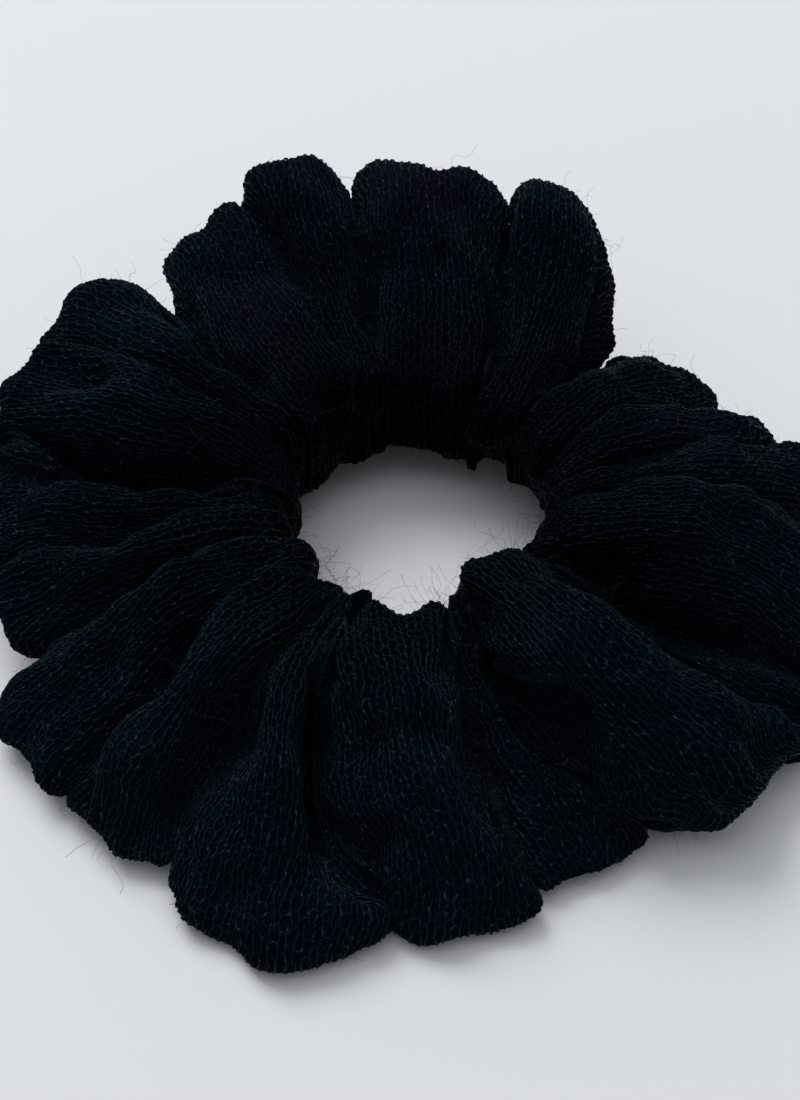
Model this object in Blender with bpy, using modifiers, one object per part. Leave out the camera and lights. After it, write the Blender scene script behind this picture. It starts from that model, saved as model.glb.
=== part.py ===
"""A gathered knit scrunchie: a folded fabric tube round a flat elastic loop, with its seam threads.

Metres, +Z up, with the folds' own sizes in millimetres. The ring lies on z = 0 and the origin is under the
middle of the ring's box. Azimuths are in degrees about the ring's axis, from +X towards +Y.
"""
import math
from collections import namedtuple

import bmesh
import bpy
import numpy as np

MM = 0.001

# Elastic loop: a flat strip on edge, with its ends overlapped
ELASTIC_INNER_RADIUS = 0.0212
ELASTIC_WIDTH = 0.0070
ELASTIC_THICKNESS = 0.0010
ELASTIC_HEIGHT = 0.0120
OVERLAP_AZIMUTH = 317.0
OVERLAP_LENGTH = 0.0080
OVERLAP_RAMP = 31.5
OVERLAP_LEAD = 3.5
ELASTIC_STEP = 6.0

# Threads
BINDING_THREAD_DIAMETER = 0.0005
BINDING_TURNS = 5
BINDING_POINTS_PER_TURN = 16
BINDING_SLACK = 0.0004
BINDING_SHARE = 0.6
SEAM_THREAD_DIAMETER = 0.0006
SEAM_CLEARANCE = 0.0006

# Knit cover
FABRIC_WALL = 0.0010
LAYER_GAP = 0.0003
RIM_CLEARANCE = 0.0009
RIM_STANDOFF = 0.0030
RIM_FLARE = 0.0015
FLAT_CUT = 0.0005
UNDERSIDE_CREASE = 0.0028
TIP_ROUNDING = 0.0045
TIP_DROP = 0.0060
TIP_RISE = 0.0030
TIP_RISE_SHARE = 0.30
CROWN_INSET = 0.0010
SOLE_OFFSET = 0.0020
LEAST_TIP = 0.0010
SPREAD_FROM = 0.020
SPREAD_TO = 0.058

# Points round the tube and rings along it. Seam places are shares of the way round: 0 at the hole, a quarter
# at the top and a half at the outer edge
SECTION_POINTS = 16
WIDE_FOLD = 11.0
NARROW_FOLD_STEPS = 4
WIDE_FOLD_STEPS = 6
LONG_SEAM_PLACE = 0.81
CLOSING_SEAM_START = 0.19
CLOSING_SEAM_END = 0.81
CLOSING_SEAM_INSET = 0.0007

# The cover is parted at the creases after these two folds, one at the back and one at the front
BACK_FOLD = 4
FRONT_FOLD = 13

# One fold of the gathered tube, in degrees and millimetres. Its crest and the crease after it are azimuths, at
# the outer edge and at the hole. reach is how far its edge lies past the elastic, tip and crown are the heights
# of edge and top, shoulder is its height over the elastic, and bulge is how far it swells into the hole. notch,
# sag and depth are how far the crease cuts into the edge, hangs below it and cuts into the lower crown beside
# it. fullness is 2 for a round arch and more for a square one, lean turns the top sideways, and bend is 1 for a
# crease that runs straight out and more for one that turns near the edge
Fold = namedtuple("Fold", "crest crease inner_crest inner_crease reach tip crown shoulder bulge "
                          "notch sag depth fullness lean bend", defaults=(0.0, 1.0))
FOLDS = [
    Fold(6.5, 13.0, -0.5, 6.0, 38.8, 16.0, 26.0, 5.5, 0.6, 2.0, 1.0, 2.5, 2.2),
    Fold(19.0, 26.0, 13.5, 21.0, 32.8, 15.0, 26.0, 6.0, 0.4, 2.4, 1.0, 3.5, 2.2),
    Fold(38.0, 52.0, 32.0, 43.0, 28.4, 14.0, 27.0, 7.0, 1.4, 9.0, 9.5, 9.0, 2.2),
    Fold(68.0, 79.5, 54.0, 64.0, 29.8, 33.5, 28.0, 7.5, 1.0, 4.0, 4.0, 7.0, 2.2),
    Fold(90.0, 100.0, 81.0, 96.0, 30.4, 33.5, 28.0, 8.0, 1.4, 2.0, 3.0, 7.0, 2.4),
    Fold(109.5, 120.0, 105.0, 113.0, 33.5, 35.5, 28.0, 7.5, 0.8, 1.5, 2.0, 5.0, 2.0),
    Fold(127.5, 137.5, 129.0, 144.5, 34.6, 28.0, 27.0, 7.0, 1.2, 3.5, 2.8, 7.0, 2.2),
    Fold(147.0, 153.5, 151.0, 157.5, 39.6, 22.5, 29.0, 6.0, 0.8, -1.0, 0.0, 2.5, 2.2),
    Fold(161.0, 169.5, 166.0, 174.0, 40.6, 21.0, 30.0, 5.5, 0.8, 3.0, 2.5, 9.0, 2.4),
    Fold(178.5, 186.0, 180.5, 187.0, 41.5, 14.0, 19.5, 4.0, 0.2, 2.0, 1.0, 5.0, 2.2),
    Fold(192.5, 199.5, 193.5, 200.0, 38.0, 10.0, 21.5, 4.0, 0.4, 5.0, 1.0, 5.0, 2.2),
    Fold(209.0, 220.0, 208.0, 216.0, 41.0, 5.0, 23.5, 4.0, 1.4, 3.0, 1.0, 8.0, 2.4),
    Fold(228.5, 237.0, 224.0, 232.0, 42.0, 5.0, 24.0, 4.0, 1.4, 4.0, -0.5, 8.0, 2.2),
    Fold(251.0, 264.0, 241.0, 250.0, 45.0, 4.5, 20.0, 4.0, 0.8, 6.0, -0.5, 7.0, 2.2, bend=2.2),
    Fold(275.5, 286.5, 264.0, 277.0, 39.4, 4.5, 25.0, 4.0, 1.4, 1.0, -0.5, 5.0, 2.2),
    Fold(297.0, 308.0, 284.5, 292.0, 34.6, 4.5, 16.0, 4.0, 0.6, 2.0, 0.0, 4.0, 2.0, bend=1.8),
    Fold(316.0, 333.0, 306.5, 327.0, 40.5, 10.0, 30.0, 10.5, 2.0, 2.5, 1.0, 13.0, 2.4, lean=-6.0),
    Fold(347.0, 360.0, 340.0, 353.0, 40.8, 12.0, 30.0, 5.5, 1.0, 3.0, 1.0, 4.0, 2.4),
]

# Finishes
KNIT_COLOUR = (0.011, 0.012, 0.016, 1.0)
KNIT_ROUGHNESS = 0.95
ELASTIC_COLOUR = (0.020, 0.020, 0.023, 1.0)
ELASTIC_ROUGHNESS = 0.80
THREAD_COLOUR = (0.014, 0.014, 0.018, 1.0)
THREAD_ROUGHNESS = 0.65

ELASTIC_TOP = ELASTIC_HEIGHT + ELASTIC_WIDTH / 2
ELASTIC_FOOT = ELASTIC_HEIGHT - ELASTIC_WIDTH / 2
RIM_RADIUS = ELASTIC_INNER_RADIUS - FABRIC_WALL - RIM_CLEARANCE


def clear_scene():
    for obj in list(bpy.data.objects):
        bpy.data.objects.remove(obj, do_unlink=True)


def make_material(name, colour, roughness):
    material = bpy.data.materials.new(name)
    material.use_nodes = True
    shader = material.node_tree.nodes["Principled BSDF"]
    shader.inputs["Base Color"].default_value = colour
    shader.inputs["Roughness"].default_value = roughness
    shader.inputs["Metallic"].default_value = 0.0
    return material


def section_posts(reach, tip, crown, shoulder, bulge, sole):
    """Eight points (radius, height) that one section of the tube passes through."""
    rim = RIM_RADIUS - bulge * MM
    edge = ELASTIC_INNER_RADIUS + reach * MM
    tip = max(tip * MM, LEAST_TIP)
    crown = crown * MM
    middle = (rim + edge) / 2
    neck = edge - TIP_ROUNDING
    return np.array([
        (rim, ELASTIC_HEIGHT),
        (rim + RIM_FLARE, ELASTIC_TOP + shoulder * MM),
        (middle - CROWN_INSET, crown),
        (neck, tip + max(TIP_RISE, (crown - tip) * TIP_RISE_SHARE)),
        (edge, tip),
        (neck, max(sole, tip - TIP_DROP)),
        (middle + SOLE_OFFSET, sole),
        (RIM_RADIUS + RIM_FLARE, ELASTIC_FOOT - RIM_STANDOFF),
    ])


def closed_curve(posts, places):
    """A smooth closed curve through the posts, read at places from 0 to 1."""
    count = len(posts)
    run = np.asarray(places) * count
    start = np.floor(run).astype(int)
    t = (run - start)[:, None]
    before, here, there, after = (posts[(start + k) % count] for k in (-1, 0, 1, 2))
    slope = there - before
    bend = 2 * before - 5 * here + 4 * there - after
    twist = 3 * here - before - 3 * there + after
    return here + 0.5 * (slope * t + bend * t**2 + twist * t**3)


def crest_section(fold):
    places = np.arange(SECTION_POINTS) / SECTION_POINTS
    posts = section_posts(fold.reach, fold.tip, fold.crown, fold.shoulder, fold.bulge, -FLAT_CUT)
    return closed_curve(posts, places)


def crease_section(fold, following):
    """The section at the crease between a fold and the next one."""
    places = np.arange(SECTION_POINTS) / SECTION_POINTS
    reach = min(fold.reach, following.reach) - fold.notch
    tip = (fold.tip + following.tip) / 2 - fold.sag
    crown = min(fold.crown, following.crown) - fold.depth
    shoulder = min(fold.shoulder, following.shoulder)
    posts = section_posts(reach, tip, crown, shoulder, 0.0, UNDERSIDE_CREASE)
    return closed_curve(posts, places)


def spread_azimuth(inner, outer, radius, bend=1.0):
    """An azimuth that runs from its value at the hole to its value at the outer edge."""
    share = np.clip((radius - SPREAD_FROM) / (SPREAD_TO - SPREAD_FROM), 0.0, 1.0)
    return inner + (outer - inner) * share**bend


def gathered_rings():
    """Rings of points (azimuth, radius, height) along the tube, and the ring that each fold begins with."""
    top = np.clip(np.sin(2 * np.pi * np.arange(SECTION_POINTS) / SECTION_POINTS), 0.0, None)
    creases = [crease_section(fold, FOLDS[(k + 1) % len(FOLDS)]) for k, fold in enumerate(FOLDS)]
    rings = []
    starts = []
    for k, fold in enumerate(FOLDS):
        starts.append(len(rings))
        before = FOLDS[k - 1]
        lap = 360.0 if before.crease > fold.crease else 0.0
        crest = crest_section(fold)
        wide = fold.crease - before.crease + lap > WIDE_FOLD
        steps = WIDE_FOLD_STEPS if wide else NARROW_FOLD_STEPS
        for step in range(steps):
            turn = math.pi * step / steps
            lift = math.sin(turn) ** (2 / fold.fullness)
            across = abs(math.cos(turn)) ** (2 / fold.fullness)
            rising = step < steps / 2
            low = creases[k - 1] if rising else creases[k]
            crease = before if rising else fold
            turned = lap if rising else 0.0
            section = low + (crest - low) * lift
            radius = section[:, 0]
            height = np.maximum(section[:, 1], 0.0)
            crest_way = spread_azimuth(fold.inner_crest, fold.crest, radius)
            crease_way = spread_azimuth(crease.inner_crease, crease.crease, radius, crease.bend) - turned
            azimuth = crest_way + (crease_way - crest_way) * across + fold.lean * lift * top
            rings.append(np.column_stack([azimuth, radius, height]))
    return rings, starts


def ring_point(azimuth, radius, height, sideways=0.0):
    """A point by azimuth, radius and height, moved sideways along the ring."""
    angle = math.radians(azimuth)
    x = radius * math.cos(angle) - sideways * math.sin(angle)
    y = radius * math.sin(angle) + sideways * math.cos(angle)
    return (x, y, height)


def inward_normals(section):
    """Unit normals of a section that point into the tube."""
    along = np.roll(section, -1, axis=0) - np.roll(section, 1, axis=0)
    normals = np.stack([along[:, 1], -along[:, 0]], axis=1)
    return normals / np.linalg.norm(normals, axis=1, keepdims=True)


def half_cover(name, rings, first, last):
    """Half of the cover: a torus whose rings take the folds' sections, cut open at two creases."""
    count = len(rings)
    bpy.ops.mesh.primitive_torus_add(major_segments=count, minor_segments=SECTION_POINTS,
                                     major_radius=ELASTIC_INNER_RADIUS * 2, minor_radius=ELASTIC_INNER_RADIUS)
    cover = bpy.context.object
    cover.name = name
    kept = {(first + k) % count for k in range((last - first) % count + 1)}
    shape = bmesh.new()
    shape.from_mesh(cover.data)
    shape.verts.ensure_lookup_table()
    spare = []
    for vertex in shape.verts:
        ring, step = divmod(vertex.index, SECTION_POINTS)
        place = (SECTION_POINTS // 2 - step) % SECTION_POINTS
        sideways = LAYER_GAP / 2 if ring == first else -LAYER_GAP / 2 if ring == last else 0.0
        vertex.co = ring_point(*rings[ring][place], sideways)
        if ring not in kept:
            spare.append(vertex)
    bmesh.ops.delete(shape, geom=spare, context="VERTS")
    shape.to_mesh(cover.data)
    shape.free()
    cover.data.shade_smooth()
    wall = cover.modifiers.new("fabric_wall", "SOLIDIFY")
    wall.thickness = FABRIC_WALL
    wall.offset = -1.0
    return cover


def elastic_path():
    """Plan of the strip's middle line: once round, then out over its own first end."""
    middle = ELASTIC_INNER_RADIUS + ELASTIC_THICKNESS / 2
    lap = math.degrees(OVERLAP_LENGTH / middle)
    start = OVERLAP_AZIMUTH - lap / 2
    step_out = ELASTIC_THICKNESS + LAYER_GAP
    count = round((360.0 + lap) / ELASTIC_STEP)
    points = []
    for k in range(count + 1):
        turned = (360.0 + lap) * k / count
        ramp = min(max((turned - 360.0 + OVERLAP_LEAD + OVERLAP_RAMP) / OVERLAP_RAMP, 0.0), 1.0)
        radius = middle + step_out * ramp * ramp * (3 - 2 * ramp)
        points.append(ring_point(start + turned, radius, ELASTIC_HEIGHT))
    return points


def make_elastic():
    """The elastic: a ribbon on edge along its path, given its thickness."""
    path = elastic_path()
    curve = bpy.data.curves.new("elastic_loop", "CURVE")
    curve.dimensions = "3D"
    curve.twist_mode = "Z_UP"
    curve.extrude = ELASTIC_WIDTH / 2
    spline = curve.splines.new("POLY")
    spline.points.add(len(path) - 1)
    for point, place in zip(spline.points, path):
        point.co = (*place, 1.0)
    elastic = bpy.data.objects.new("elastic_loop", curve)
    strip = elastic.modifiers.new("strip_thickness", "SOLIDIFY")
    strip.thickness = ELASTIC_THICKNESS
    strip.offset = 0.0
    return elastic


def make_thread(name, points, diameter):
    """A thread: a round tube with closed ends along its points."""
    curve = bpy.data.curves.new(name, "CURVE")
    curve.dimensions = "3D"
    curve.bevel_depth = diameter / 2
    curve.bevel_resolution = 1
    curve.use_fill_caps = True
    spline = curve.splines.new("POLY")
    spline.points.add(len(points) - 1)
    for point, place in zip(spline.points, points):
        point.co = (*place, 1.0)
    return bpy.data.objects.new(name, curve)


def binding_points():
    """Turns of thread wound round the two layers of the elastic's overlap."""
    half_stack = ELASTIC_THICKNESS + LAYER_GAP / 2
    standoff = BINDING_SLACK + BINDING_THREAD_DIAMETER / 2
    half_out = half_stack + standoff
    half_up = ELASTIC_WIDTH / 2 + standoff
    middle = ELASTIC_INNER_RADIUS + half_stack
    span = math.degrees(OVERLAP_LENGTH / middle) * BINDING_SHARE
    count = BINDING_TURNS * BINDING_POINTS_PER_TURN
    points = []
    for k in range(count + 1):
        turn = 2 * math.pi * k / BINDING_POINTS_PER_TURN
        out = math.copysign(math.sqrt(abs(math.cos(turn))), math.cos(turn))
        up = math.copysign(math.sqrt(abs(math.sin(turn))), math.sin(turn))
        azimuth = OVERLAP_AZIMUTH + span * (k / count - 0.5)
        points.append(ring_point(azimuth, middle + half_out * out, ELASTIC_HEIGHT + half_up * up))
    return points


def seam_depth():
    return FABRIC_WALL + SEAM_CLEARANCE + SEAM_THREAD_DIAMETER / 2


def inside_ring(ring):
    """A ring of points moved in from the cover's surface to where the seam threads lie."""
    section = ring[:, 1:] + inward_normals(ring[:, 1:]) * seam_depth()
    return np.column_stack([ring[:, 0], section])


def seam_index(place):
    return round(place * SECTION_POINTS) % SECTION_POINTS


def long_seam_points(rings, starts, first_fold, last_fold):
    """A run of the long seam below the elastic: from crest to crest, over the creases between them."""
    count = (last_fold - first_fold) % len(FOLDS)
    points = []
    for k in range(count + 1):
        fold = (first_fold + k) % len(FOLDS)
        before = inside_ring(rings[starts[fold]])[seam_index(LONG_SEAM_PLACE)]
        after = inside_ring(rings[starts[(fold + 1) % len(FOLDS)]])[seam_index(LONG_SEAM_PLACE)]
        radius = (before[1] + after[1]) / 2
        crest_way = spread_azimuth(FOLDS[fold].inner_crest, FOLDS[fold].crest, radius)
        points.append(ring_point(crest_way, radius, max(before[2], after[2])))
        if k < count:
            points.append(ring_point(*after))
    return points


def closing_seam_points(ring):
    """The closing seam, round the inside of the tube beside the back parting."""
    posts = inside_ring(ring)[seam_index(CLOSING_SEAM_START):seam_index(CLOSING_SEAM_END) + 1]
    return [ring_point(*post, CLOSING_SEAM_INSET) for post in posts]


def main():
    clear_scene()
    parts = bpy.data.collections.new("scrunchie")
    bpy.context.scene.collection.children.link(parts)
    knit = make_material("black_knit", KNIT_COLOUR, KNIT_ROUGHNESS)
    rubber = make_material("black_elastic", ELASTIC_COLOUR, ELASTIC_ROUGHNESS)
    thread = make_material("black_thread", THREAD_COLOUR, THREAD_ROUGHNESS)

    rings, starts = gathered_rings()
    back = starts[BACK_FOLD + 1]
    front = starts[FRONT_FOLD + 1]
    left = [
        (half_cover("cover_left_half", rings, back, front), knit),
        (make_elastic(), rubber),
        (make_thread("long_seam_thread_left", long_seam_points(rings, starts, BACK_FOLD + 1, FRONT_FOLD),
                     SEAM_THREAD_DIAMETER), thread),
        (make_thread("closing_seam_thread", closing_seam_points(rings[back]), SEAM_THREAD_DIAMETER), thread),
    ]
    right = [
        (half_cover("cover_right_half", rings, front, back), knit),
        (make_thread("long_seam_thread_right", long_seam_points(rings, starts, FRONT_FOLD + 1, BACK_FOLD),
                     SEAM_THREAD_DIAMETER), thread),
        (make_thread("elastic_binding_thread", binding_points(), BINDING_THREAD_DIAMETER), thread),
    ]

    outline = np.array([ring_point(*point)[:2] for ring in rings for point in ring])
    middle = (outline.min(axis=0) + outline.max(axis=0)) / 2
    for name, members in (("left_half", left), ("right_half", right)):
        axis = bpy.data.objects.new(name, None)
        axis.location = (-middle[0], -middle[1], 0.0)
        parts.objects.link(axis)
        for obj, material in members:
            obj.data.materials.clear()
            obj.data.materials.append(material)
            for collection in list(obj.users_collection):
                collection.objects.unlink(obj)
            parts.objects.link(obj)
            obj.parent = axis


main()
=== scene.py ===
"""Looks of the gathered knit scrunchie: the folded knit tube with its real stitches, loose fibres, the
elastic inside it and the seam threads, on a plain pale floor. Metres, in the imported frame."""

import math
from collections import namedtuple

import bpy
import numpy as np
from mathutils import Matrix, Vector, noise


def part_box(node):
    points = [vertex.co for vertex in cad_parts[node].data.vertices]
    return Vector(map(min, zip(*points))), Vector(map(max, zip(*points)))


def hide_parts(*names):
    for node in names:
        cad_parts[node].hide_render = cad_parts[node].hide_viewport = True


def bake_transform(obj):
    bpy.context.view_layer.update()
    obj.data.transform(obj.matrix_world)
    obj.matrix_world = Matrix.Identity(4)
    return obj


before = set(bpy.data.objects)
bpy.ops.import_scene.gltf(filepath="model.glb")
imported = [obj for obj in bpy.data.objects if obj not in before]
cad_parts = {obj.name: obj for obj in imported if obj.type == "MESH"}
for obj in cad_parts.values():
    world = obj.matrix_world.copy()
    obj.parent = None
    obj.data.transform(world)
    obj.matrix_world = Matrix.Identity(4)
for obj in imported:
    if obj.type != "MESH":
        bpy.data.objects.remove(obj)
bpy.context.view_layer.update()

# Places taken from the frame: the ring's axis and the elastic's size
ELASTIC_LOW, ELASTIC_HIGH = (np.array(corner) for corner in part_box("elastic_loop"))
RING_AXIS = (ELASTIC_LOW + ELASTIC_HIGH) / 2
ELASTIC_HEIGHT = RING_AXIS[2]
ELASTIC_WIDTH = ELASTIC_HIGH[2] - ELASTIC_LOW[2]
ELASTIC_THICKNESS = 0.0010
ELASTIC_RADIUS = (ELASTIC_HIGH[0] - ELASTIC_LOW[0]) / 2 - ELASTIC_THICKNESS

MM = 0.001

# Knit: loops of one size all over the cover
STITCH_WIDTH = 0.00200
STITCH_HEIGHT = 0.00175
POINTS_PER_STITCH = 10
YARN_RADIUS = 0.00016
YARN_SIDES = 4
LOOP_SWAY = 0.19
LOOP_REACH = 0.78
LOOP_DEPTH = 0.00012
LOOP_JITTER = 0.07
DEPTH_JITTER = 3.5
JITTER_SEED = 5
CLOTH_INSET = 0.00006
CLOTH_THICKNESS = 0.00030
KNIT_INSET = 0.00060
SOLE_CLEARANCE = 0.0010
FULL_ROOM = 0.0025
LEAST_ROOM = 0.1

# Maps of the swept tubes, from 0 to 1: margins along a tube and between tubes, and the places and sizes of
# the end caps
MAP_MARGIN = 0.01
STRIP_MARGIN = 0.05
CAP_PLACES = (0.004, 0.996)
CAP_SIZE = (0.003, 0.3)

# Loose fibre ends
FIBRES = 2600
FIBRES_AT_HOLE = 260
FIBRE_LENGTH = (0.0012, 0.0042)
FIBRE_RADIUS = 0.000018
FIBRE_POINTS = 7
FIBRE_STANDOFF = 0.7
FIBRE_DRIFT = 0.5
FIBRE_BEND = 0.35
FIBRE_CURL = 0.12
HOLE_FIBRE_BAND = 0.004
HOLE_FIBRE_GROWTH = 1.5
FIBRE_SEED = 23

# Elastic, its binding and the seams
ELASTIC_STEPS = 520
ELASTIC_ACROSS = 33
ELASTIC_RIBS = 8
RIB_DEPTH = 0.22
SELVEDGE_SQUARENESS = 8
SELVEDGE_DROP = 0.98
OVERLAP_AZIMUTH = 317.0
OVERLAP_LENGTH = 0.0080
OVERLAP_RAMP = 31.5
OVERLAP_LEAD = 3.5
LAYER_GAP = 0.0003
BINDING_RADIUS = 0.00025
BINDING_SLACK = 0.0004
BINDING_TURNS = 5
BINDING_SHARE = 0.6
BINDING_POINTS_PER_TURN = 40
BINDING_SIDE = (0.7, 0.7, 0.2)
THREAD_SIDES = 8
SEAM_RADIUS = 0.0003
SEAM_DEPTH = 0.0012
SEAM_SWAY = 0.5
SEAM_PITCH = 2.0
SEAM_STEP = 0.5
SEAM_END_GAP = 2
CLOSING_SWAY = 0.15
LONG_SEAM_PLACE = 0.833
CLOSING_FROM = 0.167
CLOSING_TO = 0.833
BACK_FOLD = 5
FRONT_FOLD = 14

# Grid that the cover's surface is worked out on
PLACES = 160
ARCH_STEPS = 48
COLUMN_STEP = 0.00090
ROWS = 112
INNER_STEP = 2
GRID_SMOOTHING = 1
ROOM_SMOOTHING = 4
JITTER_SMOOTHING = 4
DRAW_SMOOTHING = 6

# Cover sections
RIM_RADIUS = ELASTIC_RADIUS - 0.0019
RIM_STANDOFF = 0.0015
RIM_FLARE = 0.0015
TIP_ROUNDING = 0.0045
TIP_DROP = 0.0060
TIP_RISE = 0.0030
TIP_RISE_SHARE = 0.30
CROWN_INSET = 0.0010
SOLE_OFFSET = 0.0020
UNDERSIDE_CREASE = 0.0028
FLAT_CUT = 0.0005
SPREAD_FROM = 0.020
SPREAD_TO = 0.058

# Cloth drawn into the creases between the folds, and how far they take to open where they begin. The
# least gap and the run are in millimetres
LEAST_GAP = 0.4
CREASE_RUN = 8.0
CREASE_MERGE = 0.75
UPPER_SLOPE = 3
CREASE_SHARE = 0.30
CREASE_SPARE = 0.0015
CREASE_ROOM = 0.4
CREASE_DRAW = 0.0070
CREASE_DRAW_SHARE = 0.45
CREASE_DRAW_AT_ELASTIC = 0.0004
BESIDE_ELASTIC = 0.001
ABOVE_ELASTIC = 0.002
WOBBLE = 0.9
WOBBLE_LENGTH = 0.023

# Small shapes of the cloth: soft dimples, a fine unevenness, gathers at the hole and ruffles at the
# outer edge. Each has a height, and sizes along the ring and round the tube. No dent goes deeper than a
# share of the tube's thickness, or the least dent
DIMPLE = 0.0028
DIMPLE_SIZE = (0.011, 0.014)
CREPE = 0.0013
CREPE_SIZE = (0.0044, 0.0050)
GATHER = 0.0024
GATHER_SIZE = (0.0060, 0.0110)
GATHER_REACH = 0.18
GATHER_SWELL = 0.12
RUFFLE = 0.0026
RUFFLE_SIZE = (0.0065, 0.0100)
RUFFLE_REACH = 0.08
EDGE_PLACE = 0.48
DENT_SHARE = 0.52
LEAST_DENT = 0.0012
NOISE_SHIFT = 31.7

# One fold of the tube, in degrees and millimetres. Its crest and the crease after it are azimuths, at
# the outer edge and at the hole. reach is how far its edge lies past the elastic, tip and crown are the
# heights of edge and top, shoulder is its height over the elastic, and bulge is how far it swells into
# the hole. notch, sag and depth are how far the crease cuts into the edge, hangs below it and cuts into
# the crown, and gap is half its width. fullness is 2 for a round arch and more for a square one, lean
# turns the top sideways, bend is 1 for a crease that runs straight out and more for one that turns near
# the edge, and begin is how far past the elastic the crease begins
Fold = namedtuple("Fold", "crest crease inner_crest inner_crease reach tip crown shoulder bulge "
                          "notch sag depth gap fullness lean bend begin", defaults=(0.0, 1.0, 1.0))
FOLDS = [
    Fold(6.5, 13.0, 0.0, 5.0, 38.8, 16.0, 26.0, 5.5, 0.6, 2.0, 1.0, 2.5, 0.4, 2.2),
    Fold(19.0, 25.0, 13.0, 21.0, 32.8, 15.0, 26.0, 6.0, 0.4, 2.4, 1.0, 3.5, 0.5, 2.2),
    Fold(37.0, 51.0, 32.0, 42.0, 28.4, 14.0, 27.0, 7.0, 1.4, 12.0, 10.0, 13.0, 1.4, 2.4),
    Fold(69.5, 79.0, 53.0, 63.0, 29.8, 33.5, 28.0, 7.5, 1.0, 6.0, 8.5, 8.0, 1.2, 2.4),
    Fold(90.0, 100.0, 82.0, 101.5, 30.4, 33.5, 28.0, 8.0, 1.4, 2.0, 7.0, 7.0, 1.2, 2.4),
    Fold(109.5, 119.5, 106.3, 111.0, 33.5, 35.5, 28.0, 7.5, 0.8, 1.0, 5.0, 5.0, 0.8, 2.2),
    Fold(123.5, 136.0, 128.0, 146.0, 34.6, 28.0, 27.0, 7.0, 1.2, 8.0, 2.8, 8.0, 1.2, 2.4),
    Fold(147.0, 153.5, 150.7, 156.5, 39.6, 22.5, 29.0, 6.0, 0.8, -0.5, 0.0, 2.5, 0.5, 2.4),
    Fold(161.0, 169.0, 166.5, 176.0, 40.0, 21.0, 30.0, 5.5, 0.8, 0.0, 1.5, 12.0, 4.0, 3.0),
    Fold(178.5, 186.0, 182.0, 187.5, 41.5, 14.0, 19.5, 3.5, 0.2, 2.0, 1.0, 6.0, 1.0, 2.4, begin=8.0),
    Fold(192.5, 199.3, 193.5, 199.5, 38.0, 10.0, 21.5, 3.5, 0.4, 7.0, 1.0, 6.0, 1.2, 2.4, begin=6.0),
    Fold(209.0, 221.0, 208.5, 217.0, 42.5, 5.0, 23.5, 3.5, 1.4, 1.0, 1.0, 8.0, 1.4, 2.2, begin=9.0),
    Fold(228.5, 236.5, 226.5, 235.5, 42.0, 4.0, 24.0, 3.5, 1.4, 3.0, 0.5, 10.0, 1.6, 2.0, begin=13.0),
    Fold(252.0, 267.5, 241.5, 247.0, 45.0, 3.0, 20.0, 3.5, 0.8, 2.5, 0.5, 12.0, 2.4, 2.2,
         bend=3.2, begin=9.0),
    Fold(276.0, 286.5, 265.0, 280.5, 39.4, 3.0, 25.0, 4.0, 1.4, 1.0, 0.5, 5.0, 1.2, 2.4, begin=4.0),
    Fold(295.5, 308.0, 284.0, 288.5, 36.0, 3.0, 14.0, 3.0, 0.6, 3.0, 0.5, 4.0, 0.8, 2.6, bend=3.0),
    Fold(314.0, 326.0, 305.0, 321.0, 41.5, 10.0, 30.0, 9.5, 3.2, 0.5, 1.0, 6.0, 0.6, 2.8, lean=-6.0),
    Fold(329.5, 334.0, 323.0, 326.0, 42.5, 6.0, 15.0, 3.0, 0.8, 2.0, 1.0, 4.0, 2.0, 2.2),
    Fold(347.0, 360.0, 340.0, 355.5, 40.8, 12.0, 30.0, 5.5, 1.0, 3.0, 1.0, 4.0, 0.5, 2.8),
]

# Dents in the folds: the fold, how far along it and round the tube they lie, half their sizes in shares
# of the fold and of the tube, and their depths in millimetres
Dent = namedtuple("Dent", "fold along around half_along half_around depth")
DENTS = [
    Dent(16, 0.22, 0.34, 0.16, 0.070, 11.0),
    Dent(16, 0.08, 0.40, 0.06, 0.060, 5.0),
    Dent(14, 0.10, 0.16, 0.10, 0.040, 6.0),
    Dent(14, 0.55, 0.30, 0.25, 0.030, 2.2),
    Dent(13, 0.80, 0.38, 0.07, 0.090, 3.0),
    Dent(14, 0.30, 0.42, 0.10, 0.040, 1.5),
    Dent(13, 0.20, 0.30, 0.12, 0.080, 2.5),
    Dent(12, 0.40, 0.21, 0.12, 0.070, 2.2),
    Dent(11, 0.65, 0.32, 0.12, 0.070, 2.5),
    Dent(8, 0.20, 0.36, 0.14, 0.050, 3.0),
    Dent(4, 0.50, 0.28, 0.08, 0.120, 1.8),
    Dent(2, 0.45, 0.24, 0.14, 0.060, 2.0),
    Dent(18, 0.60, 0.33, 0.16, 0.060, 2.8),
]

# Spots on the cloth: the fold, how far along it and round the tube they lie, and half their sizes, in
# shares of the fold and of the tube. The spots are painted sheen, more violet. Painted shade darkens the
# cloth near the hole, by a share at the front and one at the back
Spot = namedtuple("Spot", "fold along around half_along half_around")
PAINTED_SHEEN_SPOTS = [
    Spot(0, 0.75, 0.33, 0.70, 0.16),
    Spot(1, 0.50, 0.34, 0.90, 0.20),
    Spot(3, 0.24, 0.37, 0.80, 0.32),
    Spot(4, 0.48, 0.38, 0.50, 0.15),
    Spot(5, 0.45, 0.38, 0.50, 0.12),
    Spot(6, 0.35, 0.27, 0.40, 0.14),
]
# Painted shade near the hole: how far round the tube it reaches, how sharply it ends, and its shares on the
# ground and on the yarn, at the front and at the back
PAINTED_SHADE_REACH = 0.26
PAINTED_SHADE_SHARPNESS = 5
GROUND_PAINTED_SHADE = (0.95, 0.75)
YARN_PAINTED_SHADE = (0.30, 0.80)

# Cool tint of the yarn's shine and fuzz
SHINE_TINT = (0.45, 0.76, 1.0, 1.0)
FUZZ_ROUGHNESS = 0.7

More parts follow.
